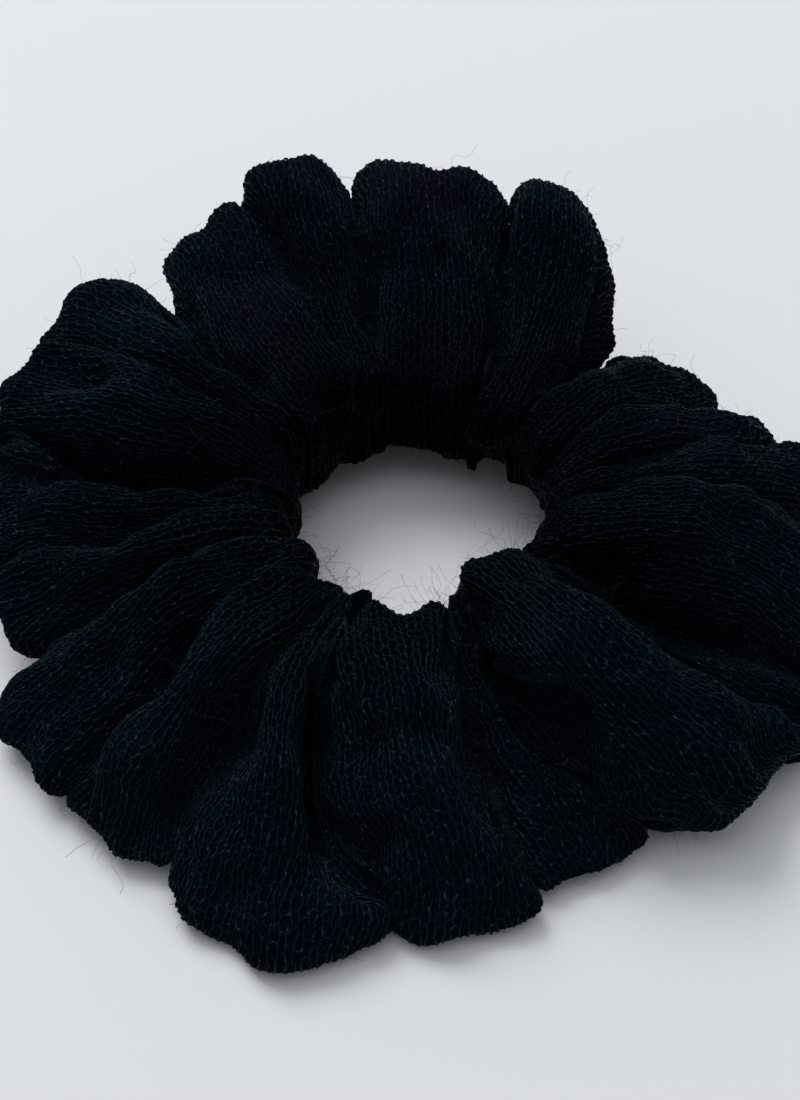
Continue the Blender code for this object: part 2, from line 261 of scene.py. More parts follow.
# The part of the grain that glints, where single fibres catch the light
GLINT_FROM = 0.60
GLINT_TO = 0.72
# The dark colour that the painted shade near the hole mixes in
PAINTED_SHADE_COLOUR = (0.0002, 0.0004, 0.0008, 1.0)

# How the noise is spread: the part of it that is used, the roughness either way, and the chance of a patch
NOISE_SPAN = (0.3, 0.7)
ROUGHNESS_SPREAD = (-0.14, 0.10)
PATCH_CHANCE = (-0.9, 0.5)
TWIST_STRENGTH = 0.8

# Yarns and threads: their colours, from dark to light dye, a patch colour that the spots also use as painted
# sheen, and a painted glint; their roughness, shine and fuzz; and the plies, turns a metre and relief of
# their twist
Yarn = namedtuple("Yarn", "name dark light patch glint roughness shine fuzz plies turns relief")
BLACK_YARN = Yarn("black_yarn", (0.0004, 0.0014, 0.0027, 1.0), (0.0042, 0.0116, 0.0168, 1.0),
                  (0.0056, 0.0060, 0.0122, 1.0), (0.0300, 0.0360, 0.0420, 1.0),
                  0.45, 0.05, 0.004, 2.0, 700.0, 0.00005)
KNIT_GROUND = Yarn("knit_ground", (0.0006, 0.0014, 0.0032, 1.0), (0.0015, 0.0038, 0.0078, 1.0),
                   (0.0036, 0.0042, 0.0082, 1.0), (0.0020, 0.0054, 0.0086, 1.0),
                   0.85, 0.005, 0.003, 2.0, 700.0, 0.00002)
FIBRE_FLUFF = Yarn("fibre_fluff", (0.0060, 0.0066, 0.0080, 1.0), (0.0200, 0.0220, 0.0260, 1.0),
                   (0.0180, 0.0200, 0.0260, 1.0), (0.0200, 0.0220, 0.0260, 1.0),
                   0.45, 0.30, 0.0, 1.0, 200.0, 0.00001)
ELASTIC_BRAID = Yarn("elastic_braid", (0.0050, 0.0050, 0.0055, 1.0), (0.0120, 0.0120, 0.0130, 1.0),
                     (0.0110, 0.0110, 0.0120, 1.0), (0.0140, 0.0140, 0.0150, 1.0),
                     0.65, 0.20, 0.0, 16.0, 60.0, 0.00010)
SEWING_THREAD = Yarn("sewing_thread", (0.0030, 0.0030, 0.0034, 1.0), (0.0080, 0.0080, 0.0090, 1.0),
                     (0.0070, 0.0070, 0.0080, 1.0), (0.0120, 0.0120, 0.0130, 1.0),
                     0.45, 0.30, 0.0, 3.0, 600.0, 0.00006)

# Studio: the floor, the soft light of the room, and the lamps, which are discs that point at the origin
FLOOR_SIZE = 4.0
FLOOR_COLOUR = (0.72, 0.735, 0.76, 1.0)
FLOOR_ROUGHNESS = 0.9
ROOM_COLOUR = (0.92, 0.95, 1.0, 1.0)
ROOM_STRENGTH = 0.36
Lamp = namedtuple("Lamp", "name place size power")
LAMPS = [
    Lamp("window", (-0.48, 0.66, 1.10), 0.9, 10.5),
    Lamp("ceiling", (0.0, 0.1, 1.20), 1.6, 5.5),
]

# Camera: the ring seen from the front and above, the photo's frame taken as 800 x 1100
IMAGE_WIDTH = 800
IMAGE_HEIGHT = 1100
CAMERA_ELEVATION = 50.0
CAMERA_DISTANCE = 0.340
METRES_PER_PIXEL = 0.00014
RING_PIXEL = (415.0, 520.0)
RING_TARGET_HEIGHT = 0.014
SENSOR = 36.0


def closed_curve(posts, places):
    """A smooth closed curve through the posts, read at places from 0 to 1."""
    count = len(posts)
    run = np.asarray(places) * count
    start = np.floor(run).astype(int)
    t = (run - start)[:, None]
    before, here, there, after = (posts[(start + k) % count] for k in (-1, 0, 1, 2))
    slope = there - before
    bend = 2 * before - 5 * here + 4 * there - after
    twist = 3 * here - before - 3 * there + after
    return here + 0.5 * (slope * t + bend * t**2 + twist * t**3)


def section_posts(reach, tip, crown, shoulder, bulge, sole):
    """Eight points (radius, height) of one section of the tube, from sizes in millimetres."""
    rim = RIM_RADIUS - bulge * MM
    tip = tip * MM
    crown = crown * MM
    edge = ELASTIC_RADIUS + reach * MM
    middle = (rim + edge) / 2
    neck = edge - TIP_ROUNDING
    elastic_top = ELASTIC_HEIGHT + ELASTIC_WIDTH / 2
    elastic_foot = ELASTIC_HEIGHT - ELASTIC_WIDTH / 2
    return np.array([
        (rim, ELASTIC_HEIGHT),
        (rim + RIM_FLARE, elastic_top + shoulder * MM),
        (middle - CROWN_INSET, crown),
        (neck, tip + max(TIP_RISE, (crown - tip) * TIP_RISE_SHARE)),
        (edge, tip),
        (neck, max(sole, tip - TIP_DROP)),
        (middle + SOLE_OFFSET, sole),
        (RIM_RADIUS + RIM_FLARE, elastic_foot - RIM_STANDOFF),
    ])


def crest_section(fold, places):
    posts = section_posts(fold.reach, fold.tip, fold.crown, fold.shoulder, fold.bulge, -FLAT_CUT)
    return closed_curve(posts, places)


def merged_share(fold, radius, places):
    """How far the two sides of a crease are still one near the hole, on the upper side of the tube."""
    past = np.clip(((radius - ELASTIC_RADIUS) / MM - fold.begin) / CREASE_RUN, 0.0, 1.0)
    upper = np.clip(UPPER_SLOPE * np.sin(2 * np.pi * places), 0.0, 1.0)
    return CREASE_MERGE * (1 - past * past * (3 - 2 * past)) * upper


def crease_section(fold, following, places):
    reach = min(fold.reach, following.reach) - fold.notch
    tip = max((fold.tip + following.tip) / 2 - fold.sag, SOLE_CLEARANCE / MM)
    crown = min(fold.crown, following.crown) - fold.depth
    shoulder = min(fold.shoulder, following.shoulder)
    low = closed_curve(section_posts(reach, tip, crown, shoulder, 0.0, UNDERSIDE_CREASE), places)
    level = (crest_section(fold, places) + crest_section(following, places)) / 2
    return low + (level - low) * merged_share(fold, low[:, 0], places)[:, None]


def spread_azimuth(inner, outer, radius, bend=1.0):
    """An azimuth that runs from its value at the hole to its value at the outer edge, in radians."""
    share = np.clip((radius - SPREAD_FROM) / (SPREAD_TO - SPREAD_FROM), 0.0, 1.0)
    wobble = WOBBLE * np.sin(2 * np.pi * radius / WOBBLE_LENGTH + outer) * share
    return np.radians(inner + (outer - inner) * share ** bend + wobble)


def polar(radius, azimuth, height):
    return np.stack([radius * np.cos(azimuth), radius * np.sin(azimuth), height], axis=-1)


# Half a fold from its crest to one crease: rows of points with the room beside each, the way into the
# tube at the crease, how far the cloth is drawn in, the way from there to the crease's middle, the
# longest row, and the cloth that each row has left past the crease's edge
Half = namedtuple("Half", "rows inward draw closing width spare")


def half_arch(fold, crest, low, crease, turned, places):
    """Half a fold, from its crest section to the low section of the crease before or after it."""
    turn = np.linspace(0.0, np.pi / 2, ARCH_STEPS)
    lift = np.cos(turn).clip(0.0) ** (2 / fold.fullness)
    across = np.sin(turn) ** (2 / fold.fullness)
    section = low[:, None] + (crest - low)[:, None] * lift[None, :, None]
    radius, height = section[..., 0], section[..., 1]
    crest_way = spread_azimuth(fold.inner_crest, fold.crest, radius)
    crease_way = spread_azimuth(crease.inner_crease - turned, crease.crease - turned, radius, crease.bend)
    half_width = crease_way - crest_way
    top = np.clip(np.sin(2 * np.pi * places), 0.0, None)[:, None]
    merged = merged_share(crease, low[:, 0], places)
    gap = (LEAST_GAP + (crease.gap - LEAST_GAP) * top * (1 - merged[:, None])) * MM
    gap = np.minimum(gap / radius, np.abs(half_width) * CREASE_SHARE)
    crease_way = crease_way - np.sign(half_width) * gap
    azimuth = crest_way + (crease_way - crest_way) * across + np.radians(fold.lean) * lift * top
    inward = low.mean(axis=0) - low
    distance = np.linalg.norm(inward, axis=1)
    inward /= distance[:, None]
    draw = np.minimum(CREASE_DRAW, CREASE_DRAW_SHARE * distance)
    beside = low[:, 0] < ELASTIC_RADIUS + BESIDE_ELASTIC
    level = np.abs(low[:, 1] - ELASTIC_HEIGHT) < ELASTIC_WIDTH / 2 + ABOVE_ELASTIC
    draw[beside & level] = CREASE_DRAW_AT_ELASTIC
    draw += (CREASE_DRAW_AT_ELASTIC - draw) * merged
    way = azimuth[:, -1]
    inward = np.stack([inward[:, 0] * np.cos(way), inward[:, 0] * np.sin(way), inward[:, 1]], axis=1)
    rows = np.dstack([polar(radius, azimuth, height), np.abs(half_width) * radius])
    middle = polar(radius[:, -1], way + np.sign(half_width[:, -1]) * gap[:, -1], height[:, -1])
    closing = middle - rows[:, -1, :3]
    lengths = np.array([row_lengths(row)[-1] for row in rows])
    spare = np.maximum(lengths.max() - lengths, np.linalg.norm(closing, axis=1) + CREASE_SPARE)
    return Half(rows, inward, smooth_ring(draw, DRAW_SMOOTHING), closing, lengths.max(), spare)


def smooth_ring(values, times):
    for _ in range(times):
        values = (np.roll(values, 1, axis=0) + 2 * values + np.roll(values, -1, axis=0)) / 4
    return values


def row_lengths(row):
    return np.concatenate([[0.0], np.cumsum(np.linalg.norm(np.diff(row[:, :3], axis=0), axis=1))])


def drawn_columns(half, shared, wanted):
    """Columns at the wanted lengths from the crest. Past the crease's edge the cloth is drawn into the tube,
    as deep as both sides have spare cloth for, and on to the crease's middle, where it has no room."""
    rows = half.rows
    out = np.empty((len(wanted), len(rows), rows.shape[2]))
    for r, row in enumerate(rows):
        length = row_lengths(row)
        whole = length[-1] + half.spare[r]
        mine = wanted * whole / half.width
        for axis in range(rows.shape[2]):
            out[:, r, axis] = np.interp(mine, length, row[:, axis])
        share = np.clip(mine - length[-1], 0.0, None)[:, None] / half.spare[r]
        depth = half.draw[r] * (1 - np.exp(-share * shared[r] / half.draw[r]))
        out[:, r, :3] += depth * half.inward[r] + share * half.closing[r]
        out[:, r, 3] = np.minimum(out[:, r, 3], CREASE_ROOM * (whole - mine))
    return out


def folded_columns():
    """The folds as columns of points round the tube at even steps of cloth, and where each fold begins."""
    places = np.arange(PLACES) / PLACES
    count = len(FOLDS)
    creases = [crease_section(fold, FOLDS[(k + 1) % count], places) for k, fold in enumerate(FOLDS)]
    lefts, rights = [], []
    for k, fold in enumerate(FOLDS):
        back = 360.0 if k == 0 else 0.0
        crest = crest_section(fold, places)
        lefts.append(half_arch(fold, crest, creases[k - 1], FOLDS[k - 1], back, places))
        rights.append(half_arch(fold, crest, creases[k], fold, 0.0, places))
    widths = [left.width + right.width for left, right in zip(lefts, rights)]
    starts = np.concatenate([[0.0], np.cumsum(widths)])
    steps = int(round(starts[-1] / COLUMN_STEP))
    lengths = (np.arange(steps) + 0.5) * starts[-1] / steps
    columns = []
    for k, (left, right) in enumerate(zip(lefts, rights)):
        mine = lengths[(lengths >= starts[k]) & (lengths < starts[k + 1])] - starts[k] - left.width
        before = np.minimum(left.spare, rights[k - 1].spare)
        after = np.minimum(right.spare, lefts[(k + 1) % count].spare)
        columns.append(drawn_columns(left, before, -mine[mine < 0]))
        columns.append(drawn_columns(right, after, mine[mine >= 0]))
    return np.concatenate(columns), starts


def even_rows(columns, count):
    """Each column read again at even steps of its own length."""
    out = np.empty((len(columns), count, columns.shape[2]))
    for k, column in enumerate(columns):
        ring = np.vstack([column, column[:1]])
        length = row_lengths(ring)
        wanted = np.arange(count) * length[-1] / count
        for axis in range(columns.shape[2]):
            out[k, :, axis] = np.interp(wanted, length, ring[:, axis])
    return out


def grid_normals(grid):
    """Unit normals of the closed grid, pointing out of the tube."""
    along = np.roll(grid, -1, axis=0) - np.roll(grid, 1, axis=0)
    around = np.roll(grid, -1, axis=1) - np.roll(grid, 1, axis=1)
    normals = np.cross(around, along)
    normals /= np.linalg.norm(normals, axis=2, keepdims=True) + 1e-12
    outward = np.sum(normals * (grid - grid.mean(axis=1, keepdims=True)))
    return normals if outward > 0 else -normals


def soft_noise(columns, rows, size, seed):
    """Smooth noise over the cloth, of the given sizes along the ring and round the tube."""
    turns = rows.max() / size[1] / (2 * np.pi)
    angle = 2 * np.pi * rows / (rows.max() * ROWS / (ROWS - 1))
    across, up = turns * np.cos(angle), turns * np.sin(angle)
    steps = columns / size[0] + NOISE_SHIFT * seed
    return np.array([[noise.noise((step, a, u)) for a, u in zip(across, up)] for step in steps])


def tube_thickness(grid):
    """How far each point of the tube lies from the one across from it, counted from the outer edge."""
    edge = np.argmax(np.hypot(grid[..., 0], grid[..., 1]), axis=1)
    across = (2 * edge[:, None] - np.arange(ROWS)[None, :]) % ROWS
    return np.linalg.norm(grid - np.take_along_axis(grid, across[:, :, None], axis=1), axis=2)


def cover_surface():
    """The cover's middle surface as a closed grid of columns and rows, where the folds begin along it, and
    how much room there is to stand off it, which is less in a narrow fold and by a crease."""
    columns, starts = folded_columns()
    grid = smooth_ring(even_rows(columns, ROWS), GRID_SMOOTHING)
    room = np.clip(smooth_ring(grid[..., 3], ROOM_SMOOTHING) / FULL_ROOM, LEAST_ROOM, 1.0)
    grid = grid[..., :3]
    along = np.arange(len(grid)) / len(grid) * starts[-1]
    perimeter = np.linalg.norm(np.roll(grid, -1, axis=1) - grid, axis=2).sum(axis=1).mean()
    around = np.arange(ROWS) / ROWS * perimeter
    place = np.arange(ROWS) / ROWS
    near_hole = np.exp(-(np.minimum(place, 1 - place) / GATHER_REACH) ** 2)
    near_edge = np.exp(-((place - EDGE_PLACE) / RUFFLE_REACH) ** 2)
    crumple = (DIMPLE * soft_noise(along, around, DIMPLE_SIZE, 1)
               + CREPE * soft_noise(along, around, CREPE_SIZE, 2)
               + GATHER * (soft_noise(along, around, GATHER_SIZE, 3) + GATHER_SWELL) * near_hole
               + RUFFLE * soft_noise(along, around, RUFFLE_SIZE, 4) * near_edge)
    for dent in DENTS:
        width = starts[dent.fold + 1] - starts[dent.fold]
        off_along = (along - starts[dent.fold] - dent.along * width) / (dent.half_along * width)
        off_around = (place - dent.around) / dent.half_around
        crumple -= dent.depth * MM * np.exp(-off_along[:, None] ** 2 - off_around[None, :] ** 2)
    crumple = np.maximum(crumple, -np.maximum(DENT_SHARE * tube_thickness(grid), LEAST_DENT))
    grid = grid + grid_normals(grid) * (room * (crumple - KNIT_INSET))[:, :, None]
    grid[:, :, 2] = np.maximum(grid[:, :, 2], SOLE_CLEARANCE)
    grid[:, :, :2] += RING_AXIS[:2]
    return grid, starts, room


def read_grid(grid, column, row):
    """The grid at fractional columns and rows."""
    columns, rows = grid.shape[:2]
    c = np.floor(column).astype(int)
    r = np.floor(row).astype(int)
    p = (column - c)[..., None]
    q = (row - r)[..., None]
    c0, c1 = c % columns, (c + 1) % columns
    r0, r1 = r % rows, (r + 1) % rows
    return ((grid[c0, r0] * (1 - p) + grid[c1, r0] * p) * (1 - q)
            + (grid[c0, r1] * (1 - p) + grid[c1, r1] * p) * q)


def make_object(name, mesh, material):
    obj = bpy.data.objects.new(name, mesh)
    bpy.context.scene.collection.objects.link(obj)
    mesh.materials.append(material)
    return obj


def mesh_from_arrays(name, points, loops, starts, maps, looks):
    """A mesh from its points, the points of every face in a row, where each face starts, its maps, and
    values at its points that the materials read."""
    mesh = bpy.data.meshes.new(name)
    mesh.vertices.add(len(points))
    mesh.vertices.foreach_set("co", np.asarray(points, np.float32).ravel())
    mesh.loops.add(len(loops))
    mesh.loops.foreach_set("vertex_index", np.asarray(loops, np.int32))
    mesh.polygons.add(len(starts))
    mesh.polygons.foreach_set("loop_start", np.asarray(starts, np.int32))
    mesh.update(calc_edges=True)
    mesh.validate()
    for map_name, uv in maps.items():
        layer = mesh.uv_layers.new(name=map_name)
        layer.data.foreach_set("uv", np.asarray(uv, np.float32).ravel())
    for look, values in looks.items():
        layer = mesh.attributes.new(look, "FLOAT", "POINT")
        layer.data.foreach_set("value", np.asarray(values, np.float32).ravel())
    mesh.shade_smooth()
    return mesh


def corner_map(here, there, low, high):
    """The map of a grid of faces with four corners each."""
    return np.stack([np.stack([here, low], -1), np.stack([there, low], -1),
                     np.stack([there, high], -1), np.stack([here, high], -1)], axis=3).reshape(-1, 2)


def swept_tubes(name, paths, normals, outline, looks=None):
    """Closed tubes of one outline along many paths. The outline is given across and along the normals, and
    looks are values along the paths."""
    tubes, steps = paths.shape[:2]
    sides = len(outline)
    ahead = np.empty_like(paths)
    ahead[:, 1:-1] = paths[:, 2:] - paths[:, :-2]
    ahead[:, 0] = paths[:, 1] - paths[:, 0]
    ahead[:, -1] = paths[:, -1] - paths[:, -2]
    ahead /= np.linalg.norm(ahead, axis=2, keepdims=True) + 1e-12
    up = normals - ahead * np.sum(normals * ahead, axis=2, keepdims=True)
    up /= np.linalg.norm(up, axis=2, keepdims=True) + 1e-12
    side = np.cross(ahead, up)
    points = (paths[:, :, None] + side[:, :, None] * outline[None, None, :, 0, None]
              + up[:, :, None] * outline[None, None, :, 1, None])
    index = np.arange(tubes * steps * sides).reshape(tubes, steps, sides)
    nxt = np.roll(index, -1, axis=2)
    quads = np.stack([index[:, :-1], index[:, 1:], nxt[:, 1:], nxt[:, :-1]], axis=-1).reshape(-1, 4)
    loops = np.concatenate([quads.ravel(), index[:, 0].ravel(), index[:, -1, ::-1].ravel()])
    starts = np.concatenate([np.arange(len(quads)) * 4, len(quads) * 4 + np.arange(2 * tubes) * sides])
    t, s, k = np.meshgrid(np.arange(tubes), np.arange(steps - 1), np.arange(sides), indexing="ij")
    along = [n / (steps - 1) * (1 - 2 * MAP_MARGIN) + MAP_MARGIN for n in (s, s + 1)]
    strip = [(t + STRIP_MARGIN + (1 - 2 * STRIP_MARGIN) * n / sides) / tubes for n in (k, k + 1)]
    bake = corner_map(*along, *strip)
    step = np.linalg.norm(np.diff(paths, axis=1), axis=2).mean()
    run = corner_map(s * step, (s + 1) * step, k / sides, (k + 1) / sides)
    turn = 2 * np.pi * np.arange(sides) / sides
    ring = np.stack([np.cos(turn) * CAP_SIZE[0], np.sin(turn) * CAP_SIZE[1] / tubes], axis=1)
    middle = (np.arange(tubes) + 0.5) / tubes
    caps = [ring[None] + np.stack([np.full(tubes, x), middle], axis=1)[:, None] for x in CAP_PLACES]
    caps = np.concatenate(caps).reshape(-1, 2)
    maps = {"OFBake": np.concatenate([bake, caps]), "yarn_run": np.concatenate([run, caps * 0.0])}
    looks = {look: np.repeat(values[..., None], sides, axis=2) for look, values in (looks or {}).items()}
    return mesh_from_arrays(name, points.reshape(-1, 3), loops, starts, maps, looks)


def round_outline(radius, sides):
    turn = 2 * np.pi * np.arange(sides) / sides
    return radius * np.stack([np.cos(turn), np.sin(turn)], axis=1)


def shell_faces(columns, rows, first):
    """The faces of a closed grid of points, and their map, for points that start at a given number."""
    index = first + np.arange(columns * rows).reshape(columns, rows)
    right = np.roll(index, -1, axis=0)
    quads = np.stack([index, np.roll(index, -1, axis=1), np.roll(right, -1, axis=1), right], axis=-1)
    c, r = np.meshgrid(np.arange(columns) / columns, np.arange(rows) / rows, indexing="ij")
    dc, dr = 1 / columns, 1 / rows
    uv = np.stack([np.stack([c, r], -1), np.stack([c, r + dr], -1),
                   np.stack([c + dc, r + dr], -1), np.stack([c + dc, r], -1)], axis=2)
    return quads.reshape(-1, 4), uv.reshape(-1, 4, 2)


def spot_mask(spots, starts, along, around):
    """How far each place of the cloth lies inside one of the spots, from 0 outside to 1 in the middle."""
    mask = np.zeros(np.broadcast(along, around).shape)
    for spot in spots:
        width = starts[spot.fold + 1] - starts[spot.fold]
        off_along = (along - starts[spot.fold] - spot.along * width) / (spot.half_along * width)
        off_around = (around - spot.around) / spot.half_around
        mask = np.maximum(mask, 1 - np.sqrt(off_along ** 2 + off_around ** 2))
    return np.clip(mask, 0.0, 1.0)


def cloth_looks(starts, along, around, shade):
    """Values that the materials read: painted shade near the hole, with its shares at the front and the
    back, and the painted sheen of the spots.
    """
    from_hole = np.abs((around + 0.5) % 1.0 - 0.5)
    front = 0.5 + 0.5 * np.cos(2 * np.pi * (along - starts[FRONT_FOLD]) / starts[-1])
    near_hole = np.exp(-(from_hole / PAINTED_SHADE_REACH) ** PAINTED_SHADE_SHARPNESS)
    painted_shade = near_hole * (shade[1] + (shade[0] - shade[1]) * front)
    return {"painted_shade": painted_shade, "painted_sheen": spot_mask(PAINTED_SHEEN_SPOTS, starts, along, around)}


def make_cloth(grid, normals, starts, room, material):
    """The ground of the knit: a thin closed sheet that the stitches stand on, with a coarser inner side."""
    columns, rows = grid.shape[:2]
    outer = grid - normals * (room * CLOTH_INSET)[:, :, None]
    inner = (outer - normals * CLOTH_THICKNESS)[::INNER_STEP, ::INNER_STEP]
    outer_faces, outer_uv = shell_faces(columns, rows, 0)
    inner_faces, inner_uv = shell_faces(*inner.shape[:2], columns * rows)
    points = np.concatenate([outer.reshape(-1, 3), inner.reshape(-1, 3)])
    along = (np.arange(columns)[:, None] + 0.5) / columns * starts[-1] + np.zeros((1, rows))
    around = np.arange(rows)[None, :] / rows + np.zeros((columns, 1))
    half = np.array([1.0, 0.5])
    faces = np.concatenate([outer_faces, inner_faces[:, ::-1]])
    uv = np.concatenate([outer_uv * half, inner_uv[:, ::-1] * half + np.array([0.0, 0.5])])
    looks = {look: np.concatenate([values.ravel(), values[::INNER_STEP, ::INNER_STEP].ravel()])
             for look, values in cloth_looks(starts, along, around, GROUND_PAINTED_SHADE).items()}
    mesh = mesh_from_arrays("knit_cover", points, faces.ravel(), np.arange(len(faces)) * 4,
                            {"OFBake": uv.reshape(-1, 2)}, looks)
    return make_object("knit_cover", mesh, material)


def stitch_paths(grid, normals, starts):
    """The yarn of every row of knit loops, with the cover's normals and the yarn's looks along it, and the
    step that each fold begins with."""
    columns, rows = grid.shape[:2]
    rng = np.random.default_rng(JITTER_SEED)
    wales = int(round(starts[-1] / STITCH_WIDTH))
    perimeter = np.linalg.norm(np.roll(grid, -1, axis=1) - grid, axis=2).sum(axis=1).mean()
    courses = int(round(perimeter / STITCH_HEIGHT))
    steps = wales * POINTS_PER_STITCH
    jitter = smooth_ring(rng.normal(size=(steps, 3, courses)), JITTER_SMOOTHING).transpose(1, 2, 0)
    jitter *= LOOP_JITTER / jitter.std()
    turn = 2 * np.pi * np.arange(steps) / POINTS_PER_STITCH + np.zeros((courses, 1))
    wale = turn / (2 * np.pi) + LOOP_SWAY * np.sin(2 * turn) + jitter[0]
    place = np.arange(courses)[:, None] + 0.5 + LOOP_REACH * np.cos(turn) + jitter[1]
    column = wale / wales * columns - 0.5
    row = place / courses * rows
    normal = read_grid(normals, column, row)
    lift = LOOP_DEPTH * (np.cos(2 * turn) + DEPTH_JITTER * jitter[2])
    path = read_grid(grid, column, row) - normal * lift[..., None]
    along, around = wale / wales * starts[-1], place / courses
    bounds = np.round(starts / starts[-1] * wales).astype(int) * POINTS_PER_STITCH
    return path, normal, cloth_looks(starts, along, around, YARN_PAINTED_SHADE), bounds


def make_stitches(path, normal, looks, bounds, material):
    """Rows of knit loops all over the cover, one yarn a row, a piece for each fold."""
    pieces = []
    for k in range(len(FOLDS)):
        span = np.arange(bounds[k], bounds[k + 1] + 1) % path.shape[1]
        name = f"knit_stitches_{k + 1:02d}"
        mesh = swept_tubes(name, path[:, span], normal[:, span], round_outline(YARN_RADIUS, YARN_SIDES),
                           {look: values[:, span] for look, values in looks.items()})
        pieces.append(make_object(name, mesh, material))
    return pieces


def make_fibres(path, normal, material):
    """Loose fibre ends that stand off the yarn, more of them at the front of the hole."""
    rng = np.random.default_rng(FIBRE_SEED)
    roots = path.reshape(-1, 3)
    ways = normal.reshape(-1, 3)
    from_axis = roots - RING_AXIS
    radius = np.hypot(from_axis[:, 0], from_axis[:, 1])
    inside = radius < RIM_RADIUS + HOLE_FIBRE_BAND
    at_hole = np.flatnonzero(inside & (from_axis[:, 1] < 0) & (from_axis[:, 2] > 0))
    chosen = np.concatenate([rng.choice(len(roots), FIBRES), rng.choice(at_hole, FIBRES_AT_HOLE)])
    count = len(chosen)
    length = rng.uniform(*FIBRE_LENGTH, count)
    length[FIBRES:] *= HOLE_FIBRE_GROWTH
    drift = rng.normal(size=(count, 3))
    bend = rng.normal(size=(count, 3))
    curl = rng.normal(size=(count, 3))
    way = ways[chosen] * FIBRE_STANDOFF + drift * FIBRE_DRIFT
    way /= np.linalg.norm(way, axis=1, keepdims=True)
    t = np.linspace(0.0, 1.0, FIBRE_POINTS)[None, :, None]
    swing = FIBRE_BEND * bend[:, None] * t ** 2
    wave = FIBRE_CURL * curl[:, None] * np.sin(2 * np.pi * t)
    lines = roots[chosen][:, None] + length[:, None, None] * (way[:, None] * t + swing + wave)
    lines[:, :, 2] = np.maximum(lines[:, :, 2], FIBRE_RADIUS * 2)
    side = np.broadcast_to(np.cross(way, drift)[:, None], lines.shape)
    mesh = swept_tubes("loose_fibres", lines, side, round_outline(FIBRE_RADIUS, 3))
    return make_object("loose_fibres", mesh, material)


def ring_line(radius, azimuth, height):
    return polar(radius, np.radians(azimuth), height) + np.array([RING_AXIS[0], RING_AXIS[1], 0.0])


def make_elastic(material):
    """The elastic: a braided strip on edge, once round and then out over its own first end."""
    middle = ELASTIC_RADIUS + ELASTIC_THICKNESS / 2
    lap = math.degrees(OVERLAP_LENGTH / middle)
    turned = np.linspace(0.0, 360.0 + lap, ELASTIC_STEPS)
    ramp = np.clip((turned - 360.0 + OVERLAP_LEAD + OVERLAP_RAMP) / OVERLAP_RAMP, 0.0, 1.0)
    radius = middle + (ELASTIC_THICKNESS + LAYER_GAP) * ramp * ramp * (3 - 2 * ramp)
    azimuth = OVERLAP_AZIMUTH - lap / 2 + turned
    line = ring_line(radius, azimuth, np.full(ELASTIC_STEPS, ELASTIC_HEIGHT))
    outward = polar(np.ones(ELASTIC_STEPS), np.radians(azimuth), np.zeros(ELASTIC_STEPS))
    across = np.linspace(-1.0, 1.0, ELASTIC_ACROSS)
    rib = 1 - RIB_DEPTH * np.sin(np.pi * ELASTIC_RIBS / 2 * (across + 1)) ** 2
    rib *= np.sqrt(np.sqrt(1 - across ** SELVEDGE_SQUARENESS * SELVEDGE_DROP))
    face = np.stack([across * ELASTIC_WIDTH / 2, rib * ELASTIC_THICKNESS / 2], axis=1)
    outline = np.concatenate([face, face[::-1] * np.array([1.0, -1.0])])
    mesh = swept_tubes("elastic_strip", line[None], outward[None], outline[::-1])
    return make_object("elastic_strip", mesh, material)


def make_binding(material):
    """Turns of thread wound round the two layers of the elastic's overlap."""
    half_stack = ELASTIC_THICKNESS + LAYER_GAP / 2
    standoff = BINDING_SLACK + BINDING_RADIUS
    middle = ELASTIC_RADIUS + half_stack
    span = math.degrees(OVERLAP_LENGTH / middle) * BINDING_SHARE
    share = np.linspace(0.0, 1.0, BINDING_TURNS * BINDING_POINTS_PER_TURN + 1)
    turn = 2 * np.pi * BINDING_TURNS * share
    out = np.sign(np.cos(turn)) * np.sqrt(np.abs(np.cos(turn)))
    up = np.sign(np.sin(turn)) * np.sqrt(np.abs(np.sin(turn)))
    line = ring_line(middle + (half_stack + standoff) * out, OVERLAP_AZIMUTH + span * (share - 0.5),
                     ELASTIC_HEIGHT + (ELASTIC_WIDTH / 2 + standoff) * up)
    along = np.broadcast_to(np.array(BINDING_SIDE), line.shape)
    outline = round_outline(BINDING_RADIUS, THREAD_SIDES)
    mesh = swept_tubes("binding_thread", line[None], along[None], outline)
    return make_object("binding_thread", mesh, material)


def make_seam(name, grid, normals, columns, rows, material):
    """A seam thread inside the cover, along a line of the cloth."""
    normal = read_grid(normals, columns, rows)
    line = read_grid(grid, columns, rows) - normal * SEAM_DEPTH
    mesh = swept_tubes(name, line[None], normal[None], round_outline(SEAM_RADIUS, THREAD_SIDES))
    return make_object(name, mesh, material)


def make_seams(grid, normals, starts, material):
    """The long seam in two runs, and the closing seam round the tube at the back, all with a small sway."""
    columns = len(grid)
    back = starts[BACK_FOLD] / starts[-1] * columns
    front = starts[FRONT_FOLD] / starts[-1] * columns
    runs = {"long_seam_left": (back, front), "long_seam_right": (front, back + columns)}
    seams = {}
    for name, (first, last) in runs.items():
        column = np.arange(first + SEAM_END_GAP, last - SEAM_END_GAP, SEAM_STEP)
        row = LONG_SEAM_PLACE * ROWS + SEAM_SWAY * np.sin(np.pi * column / SEAM_PITCH)
        seams[name] = make_seam(name, grid, normals, column, row, material)
    row = np.arange(CLOSING_FROM * ROWS, CLOSING_TO * ROWS, SEAM_STEP)
    column = back + CLOSING_SWAY * np.sin(np.pi * row / SEAM_PITCH)
    seams["closing_seam"] = make_seam("closing_seam", grid, normals, column, row, material)
    return seams


def node(tree, kind, place, **values):
    made = tree.nodes.new(kind)
    made.location = place
    for key, value in values.items():
        setattr(made, key, value)
    return made


